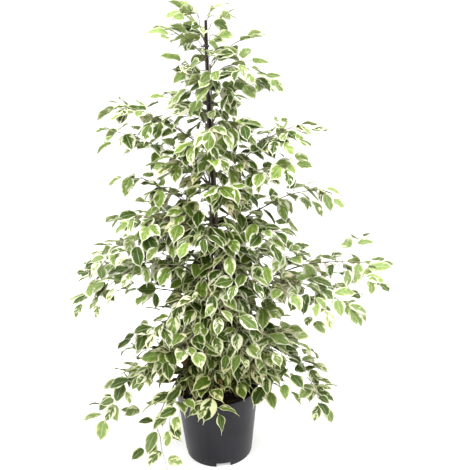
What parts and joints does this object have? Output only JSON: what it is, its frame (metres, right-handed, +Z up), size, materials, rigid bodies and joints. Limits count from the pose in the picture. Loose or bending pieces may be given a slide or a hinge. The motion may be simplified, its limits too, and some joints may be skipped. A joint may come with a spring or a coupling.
{
  "type": "weeping fig",
  "caption": "Bushy weeping fig with cream-edged leaves on arching twigs, tied to a slim stake in a round tapered nursery pot.",
  "frame": {"origin": "centre of the pot's flat base, on the surface that it stands on", "axes": "+Z up along the stake, +X to the right of the pictured front, +Y to the back"},
  "size_m": [0.7702, 0.5318, 1.1455],
  "materials": {
    "pot": "satin dark grey",
    "soil": "rough peat",
    "stake": "dark coated stake",
    "tie": "black coated tie",
    "bark": "grey-brown bark",
    "leaf": "green leaf with cream margin"
  },
  "bodies": {
    "root": {"pot": "pot", "soil": "soil", "stake": "stake", "stem_left": "bark", "stem_right": "bark", "stem_back": "bark", "tie_1": "tie", "tie_2": "tie", "tie_3": "tie", "tie_4": "tie", "tie_5": "tie", "leader": "leaf", "top_left": "leaf", "top_left_long": "leaf", "top_right": "leaf", "top_back": "leaf", "upper_right_hanging": "leaf", "upper_left": "leaf", "upper_front": "leaf", "upper_right_long": "leaf", "upper_back_left": "leaf", "high_left_long": "leaf", "high_right": "leaf", "high_front_left": "leaf", "high_back_right": "leaf", "shoulder_left": "leaf", "shoulder_right": "leaf", "shoulder_front": "leaf", "shoulder_back": "leaf", "shoulder_right_front": "leaf", "middle_left": "leaf", "middle_left_low": "leaf", "middle_front": "leaf", "middle_right_long": "leaf", "middle_right_front": "leaf", "middle_back_left": "leaf", "middle_front_right": "leaf", "wide_left": "leaf", "wide_left_low": "leaf", "wide_right": "leaf", "wide_back_right": "leaf", "wide_front": "leaf", "wide_back_left": "leaf", "wide_right_low": "leaf", "lower_left": "leaf", "lower_left_front": "leaf", "lower_right_front": "leaf", "lower_front_left": "leaf", "low_left": "leaf", "low_left_hanging": "leaf", "low_front": "leaf", "rim_front": "leaf", "rim_right": "leaf", "skirt_left": "leaf", "skirt_left_front": "leaf", "skirt_right": "leaf", "skirt_right_front": "leaf", "skirt_back": "leaf", "skirt_back_right": "leaf"}
  },
  "joints": []
}
